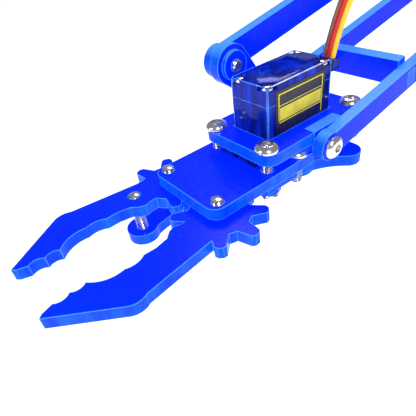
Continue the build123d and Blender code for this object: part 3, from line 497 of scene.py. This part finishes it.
def hex_radius(flat, angle):
    """Radius of a hexagon at an angle, from half its width across the flats."""
    return flat / cos((angle + pi / 6) % (pi / 3) - pi / 6)


def turned(radius_at, height, where):
    """One ring of a turned piece, in the frame of a placing matrix."""
    ring = []
    for k in range(SEGMENTS):
        angle = 2 * pi * k / SEGMENTS
        r = radius_at(angle)
        ring.append(where @ Vector((r * cos(angle), r * sin(angle), height)))
    return ring


def placed(point, head_down=False):
    """Matrix that puts millimetre shapes, head up or head down, at a point of the gripper's frame."""
    turn = Matrix.Rotation(pi if head_down else 0, 4, "X")
    return Matrix.Translation(grip(*point)) @ turn @ Matrix.Scale(MM, 4)


def threaded_screw(where, length):
    """Button-head screw: a helical thread up to the head, and a hexagonal socket sunk in the head."""
    rings = [turned(lambda angle: TIP_R, -length, where)]
    plain_ends = 0.5                   # without thread, at the tip and under the head together
    steps = int((length - plain_ends) / PITCH * THREAD_STEPS)
    for step in range(steps + 1):
        height = -length + TIP_H + step * PITCH / THREAD_STEPS

        def crest(angle, height=height):
            phase = (height / PITCH - angle / (2 * pi)) % 1
            rise = min(1, THREAD_STEEP * (1 - abs(2 * phase - 1)))
            return THREAD_ROOT + (THREAD_R - THREAD_ROOT) * rise

        rings.append(turned(crest, height, where))
    for radius, height in HEAD_PROFILE:
        rings.append(turned(lambda angle, radius=radius: radius, height, where))
    for flat, height in SOCKET_PROFILE:
        rings.append(turned(lambda angle, flat=flat: hex_radius(flat, angle), height, where))
    rings.append(turned(lambda angle: DRILL_R, HEAD_H - SOCKET_DEEP - DRILL_DEEP, where))
    return loft(rings)


def nut(where):
    """Hexagonal nut below z = 0, with its corners chamfered top and bottom."""
    flat, high, bore, chamfer = 2.74, 2.4, 1.5, 0.35
    face = flat * 0.97
    rings = [turned(lambda angle: bore, 0, where), turned(lambda angle: face, 0, where)]
    for height in (-chamfer, chamfer - high):
        rings.append(turned(lambda angle: hex_radius(flat, angle), height, where))
    rings.append(turned(lambda angle: face, -high, where))
    rings.append(turned(lambda angle: bore, -high, where))
    return loft(rings)


# Places and lengths in the gripper's frame
CLAW_X, CLAW_Y = 31.2, 9.6             # claw pivots
CLAW_LOW = -6.4                        # under the claws, where their screws' heads sit
CLAW_SCREW = 7.5
BRACKET_X, BRACKET_Y = 4.8, 9.3        # screws that hold the bracket under the palm
BRACKET_SCREW = 8.0
COLLAR_TOP = 5.5
COLLAR_REAR, COLLAR_FRONT, COLLAR_Y = -16.65, 14.95, 8.96
REAR_NUT, FRONT_NUT = 3.0, 6.0         # seats of the nuts below the palm's top
PAST_NUT = 3.0                         # from a nut's seat to the tip of its screw
SHAFT_X = -5.5                         # the servo's output shaft
CRANK_X, CRANK_Y = 10.0, 1.8           # link pin from the shaft, and from the claw's pivot
LINK_LOW = -16.2                       # under the grip link, where its screws' heads sit
LEVER_SCREW, CRANK_SCREW = 4.7, 13.4


def make_screws():
    """The screws and nuts of the palm, the collar and the grip link, each set as one piece."""
    palm_parts, collar_parts = [], []
    for y in (-1, 1):
        palm_parts.append((0, threaded_screw(placed((CLAW_X, y * CLAW_Y, CLAW_LOW), True), CLAW_SCREW)))
        palm_parts.append((0, threaded_screw(placed((BRACKET_X, y * BRACKET_Y, 0)), BRACKET_SCREW)))
        for x, nut_at in ((COLLAR_REAR, REAR_NUT), (COLLAR_FRONT, FRONT_NUT)):
            seat = placed((x, y * COLLAR_Y, COLLAR_TOP))
            collar_parts.append((0, threaded_screw(seat, COLLAR_TOP + nut_at + PAST_NUT)))
            collar_parts.append((0, nut(placed((x, y * COLLAR_Y, -nut_at)))))
    lever_pin = placed((SHAFT_X + CRANK_X, -CRANK_Y, LINK_LOW), True)
    crank_pin = placed((CLAW_X + CRANK_X, -CLAW_Y - CRANK_Y, LINK_LOW), True)
    link_parts = [(0, threaded_screw(lever_pin, LEVER_SCREW)), (0, threaded_screw(crank_pin, CRANK_SCREW))]
    for name, node, body, parts in (
            ("claw_and_bracket_screws", "palm_screws", "gripper", palm_parts),
            ("collar_screws_and_nuts", "gripper_collar_bolts", "gripper", collar_parts),
            ("link_screws", "grip_link_screws", "grip_link", link_parts)):
        points, faces, _ = joined(parts)
        screws = add_piece(name, points, faces, [steel], sharp=40)
        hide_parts(node)
        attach(screws, body)


make_screws()

CASE_DEEP = 18.4                       # from the ears' face to the end of the cover
POCKET_DEEP = 1.3
CASE_SCREW_X, CASE_SCREW_Y = 9.7, 4.4
# Radius and height above the pocket's floor, from the tip up over the head
CASE_SCREW_PROFILE = ((0.78, -3.6), (0.78, 0.0), (1.3, 0.0), (1.38, 0.25), (1.3, 0.65), (1.05, 0.92),
                      (0.8, 1.04))
# Size and height of the cross, at the top of the head and at its own floor
CROSS_PROFILE = ((1.0, 1.06), (0.9, 0.55))


def cross_radius(size, angle):
    """Radius of a rounded four-armed cross at an angle."""
    return size * (0.2 + 0.5 * abs(cos(2 * angle)) ** 3)


def make_case_screws():
    """Small domed cross-head screws in the corner pockets of the gripper servo's cover."""
    parts = []
    for x in (-CASE_SCREW_X, CASE_SCREW_X):
        for y in (-CASE_SCREW_Y, CASE_SCREW_Y):
            where = placed((x, y, CASE_DEEP - POCKET_DEEP))
            rings = [turned(lambda angle, radius=radius: radius, height, where)
                     for radius, height in CASE_SCREW_PROFILE]
            for size, height in CROSS_PROFILE:
                rings.append(turned(lambda angle, size=size: cross_radius(size, angle), height, where))
            parts.append((0, loft(rings)))
    points, faces, _ = joined(parts)
    screws = add_piece("case_corner_screws", points, faces, [steel], sharp=40)
    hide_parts("servo_case_screws")
    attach(screws, "gripper")


make_case_screws()

# ---- servo dressing: label, painted glints on the edges and moulded cover on each servo ------
HALF_L, HALF_W = 11.4, 6.1             # half the case's length and width
COVER_SEAM = 13.4                      # from the ears' face
GLINT_BEAD_SIDES = 8                         # of each painted glint bead's round section
LABEL_W, LABEL_LOW, LABEL_HIGH = 17.6, 5.7, 16.6
LABEL_THICK = 0.10
FRAME_IN, LINE_W = 0.85, 0.28          # the label's printed frame, from its edge, and its lines
FRAME_LOW = 0.4                        # foot of the frame, from the label's lower edge
BAND_LOW, BAND_HIGH = 3.3, 6.5         # the gold band, from the label's lower edge
BAND_GAP = 0.2                         # between the band and the frame
RULE_ABOVE = (0.5, 0.68)               # edges of the thin lines above and below the band
RULE_BELOW = (-0.55, -0.3)
PRINT_LIFT, PRINT_THICK = 0.09, 0.05


def servo_frames():
    """Origin on the ears' face, direction away from the shaft, label side and body of each servo."""
    base_low, base_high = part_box("base_servo_case")
    right_low, right_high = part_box("shoulder_servo_case")
    left_low, left_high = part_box("elbow_servo_case")
    centre_x = (base_low[0] + base_high[0]) / 2
    centre_z = joint_at["shoulder"].z
    x, y, z = Vector((1, 0, 0)), Vector((0, 1, 0)), Vector((0, 0, 1))
    side_x = (right_low[0] + right_high[0]) / 2
    return (("gripper", "gripper", grip(0, 0, 0), z, y),
            ("base", "base", Vector((centre_x, 0, base_low[2] + CASE_DEEP * MM)), -z, y),
            ("shoulder", "turret", Vector((side_x, right_low[1] + CASE_DEEP * MM, centre_z)), -y, z),
            ("elbow", "turret", Vector((side_x, left_high[1] - CASE_DEEP * MM, centre_z)), y, z))


def make_label(name, body, origin, deep, side):
    """Printed sticker with a frame, a gold band and black panels, and no lettering."""
    across = Vector((1, 0, 0))

    def spot(x, d, lift=0.0):
        return origin + (across * x + deep * d + side * (HALF_W + lift)) * MM

    def panel(x0, x1, d0, d1, low, thick):
        return slab(spot(x0, d0, low), across * (x1 - x0) * MM, deep * (d1 - d0) * MM, side * thick * MM)

    def printed(x0, x1, d0, d1):
        return panel(x0, x1, d0, d1, PRINT_LIFT, PRINT_THICK)

    half = LABEL_W / 2
    left, right, top = FRAME_IN - half, half - FRAME_IN, LABEL_HIGH - FRAME_IN
    inner_left, inner_right, inner_top = left + LINE_W, right - LINE_W, top - LINE_W
    band_low, band_high = LABEL_LOW + BAND_LOW, LABEL_LOW + BAND_HIGH
    parts = [(0, panel(-half, half, LABEL_LOW, LABEL_HIGH, 0.0, LABEL_THICK)),
             (1, printed(left, right, inner_top, top)),
             (1, printed(left, inner_left, LABEL_LOW + FRAME_LOW, inner_top)),
             (1, printed(inner_right, right, band_low, inner_top)),
             (1, printed(inner_left, inner_right, *(band_high + edge for edge in RULE_ABOVE))),
             (1, printed(inner_left, inner_right, *(band_low + edge for edge in RULE_BELOW))),
             (2, printed(inner_left + BAND_GAP, inner_right - BAND_GAP, band_low, band_high))]
    points, faces, numbers = joined(parts)
    prints = [black_print, yellow_print, gold_print]
    label = add_piece(f"{name}_servo_label", points, faces, prints, numbers)
    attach(label, body)


def make_edge_glints(name, body, origin, deep, side):
    """Painted glints along the case's edges: beads at the cover's rim and seam and at four corners, and a painted
    highlight line on the label's side.
    """
    across = Vector((1, 0, 0))
    ease = 0.5                         # cut across the outline's corners
    rim_in, rim_r = 0.1, 0.15          # how far inside the case's faces, and radius
    seam_in, seam_r = 0.12, 0.17
    line_in, line_r, line_short = 0.08, 0.17, 1.2
    corner_in, corner_r = 0.32, 0.36

    def outline(d, grow):
        corners = []
        for a, b in ((1, 1), (-1, 1), (-1, -1), (1, -1)):
            near_x, near_w = a * (HALF_L + grow), b * (HALF_W + grow)
            pair = [(near_x - a * ease, near_w), (near_x, near_w - b * ease)]
            corners += pair if a * b < 0 else pair[::-1]
        return [origin + (across * x + side * w + deep * d) * MM for x, w in corners]

    parts = []
    for d, grow, radius in ((CASE_DEEP - rim_in, -rim_in, rim_r), (COVER_SEAM + seam_in, -seam_in, seam_r)):
        profile = round_profile(radius * MM, GLINT_BEAD_SIDES)
        parts.append((0, sweep(outline(d, grow), profile, closed=True, sideways=deep)))
    # Painted highlight line along the top edge on the label's side.
    line = [origin + (across * x + side * (HALF_W - line_in) + deep * (CASE_DEEP - line_in)) * MM
            for x in (line_short - HALF_L, -4, 4, HALF_L - line_short)]
    parts.append((1, sweep(line, round_profile(line_r * MM, GLINT_BEAD_SIDES), sideways=deep)))
    for a in (-1, 1):
        for b in (-1, 1):
            base = origin + (across * a * (HALF_L - corner_in) + side * b * (HALF_W - corner_in)) * MM
            upright = [base + deep * d * MM for d in (2.8, 6.0, 9.5, COVER_SEAM, CASE_DEEP - 0.2)]
            parts.append((0, sweep(upright, round_profile(corner_r * MM, GLINT_BEAD_SIDES), sideways=across)))
    points, faces, numbers = joined(parts)
    glint_beads = add_piece(f"{name}_servo_edge_glints", points, faces, [case_glint, case_highlight_line], numbers, sharp=50)
    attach(glint_beads, body)


# Small ribs on the end of the cover: corner along and across the case, then length and width
COVER_RIBS = ((-5.6, 0.9, 2.6, 0.28), (-1.4, -1.6, 0.3, 1.9), (0.3, 1.5, 2.2, 0.26), (2.4, -0.4, 0.3, 1.6),
              (4.0, 1.2, 1.7, 0.26), (6.2, -1.3, 0.28, 1.5), (-7.2, -1.4, 1.5, 0.26))
RIB_LIFT, RIB_THICK = 0.38, 0.16       # from the end of the cover
PANEL_IN_L, PANEL_IN_W = 0.7, 0.5      # from the case's sides to the panel's
PANEL_CUT = 3.0                        # off the panel's corners, beside the screws
PANEL_STEPS = ((0, -0.1), (0.05, 0.12), (0.6, 0.42))   # inset, and height from the end of the cover


def make_cover_relief(name, body, origin, deep, side):
    """Moulded end of the cover: a low panel with cut corners between the screws, and small ribs on it coloured as
    painted glints.
    """
    across = Vector((1, 0, 0))

    def ring(inset, d):
        x0, w0, cut = HALF_L - PANEL_IN_L - inset, HALF_W - PANEL_IN_W - inset, PANEL_CUT
        corners = [(x0, w0 - cut), (x0 - cut, w0), (cut - x0, w0), (-x0, w0 - cut),
                   (-x0, cut - w0), (cut - x0, -w0), (x0 - cut, -w0), (x0, cut - w0)]
        return [origin + (across * x + side * w + deep * d) * MM for x, w in corners]

    parts = [(0, loft([ring(inset, CASE_DEEP + height) for inset, height in PANEL_STEPS]))]
    # The ribs are coloured with the painted glints.
    for x, w, long, wide in COVER_RIBS:
        corner = origin + (across * x + side * w + deep * (CASE_DEEP + RIB_LIFT)) * MM
        parts.append((1, slab(corner, across * long * MM, side * wide * MM, deep * RIB_THICK * MM)))
    points, faces, numbers = joined(parts)
    relief = add_piece(f"{name}_servo_cover_relief", points, faces, [case_plastic, case_glint], numbers)
    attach(relief, body)


for name, body, origin, deep, side in servo_frames():
    make_label(name, body, origin, deep, side)
    make_edge_glints(name, body, origin, deep, side)
    make_cover_relief(name, body, origin, deep, side)

# ---- floor and light ------------------------------------------------------------------------
FLOOR_SIZE = 8.0                       # metres, as all of these are
FLOOR_GAP = 0.0002                     # below the foot plate
LIGHTS = (("key", (0.35, 0.75, 0.8), (0.35, 0.35), 9),         # place from the gripper, size, watts
          ("overhead", (-0.55, -0.45, 0.9), (0.5, 0.35), 5),
          ("front", (0.9, -0.3, 0.45), (0.3, 0.3), 4))
SKY = (0.8, 0.88, 1.0, 1)
SKY_STRENGTH = 0.3


def make_floor():
    """White ground that glows a little, so that it comes out as white as the photo's background."""
    half = FLOOR_SIZE / 2
    shader = Shader("floor", Roughness=0.9, Specular_IOR_Level=0.0, Emission_Strength=0.6)
    shader.bsdf.inputs["Emission Color"].default_value = (1, 1, 1, 1)
    patches = shader.spread(shader.noise(6, 2), 0, 1)
    shader.colour(shader.blend(patches, (0.93, 0.93, 0.93), (0.90, 0.90, 0.90)))
    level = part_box("base_footplate")[0][2] - FLOOR_GAP
    points = [(-half, -half, level), (half, -half, level), (half, half, level), (-half, half, level)]
    floor = add_piece("floor", points, [(0, 1, 2, 3)], [shader.material])


def area_light(name, at, size, power, target):
    """Rectangular lamp that faces a point."""
    data = bpy.data.lights.new(name, "AREA")
    data.shape = "RECTANGLE"
    data.size, data.size_y = size
    data.energy = power
    light = bpy.data.objects.new(name, data)
    aim = (target - at).to_track_quat("-Z", "Y")
    light.matrix_world = Matrix.Translation(at) @ aim.to_matrix().to_4x4()
    bpy.context.scene.collection.objects.link(light)


def make_light():
    """Three lamps round the gripper, and a pale blue sky."""
    middle = grip(10, 0, 0)
    for name, offset, size, power in LIGHTS:
        area_light(name, middle + Vector(offset), size, power, middle)
    world = bpy.data.worlds.new("studio")
    world.use_nodes = True
    background = world.node_tree.nodes["Background"]
    background.inputs["Color"].default_value = SKY
    background.inputs["Strength"].default_value = SKY_STRENGTH
    bpy.context.scene.world = world


make_floor()
make_light()
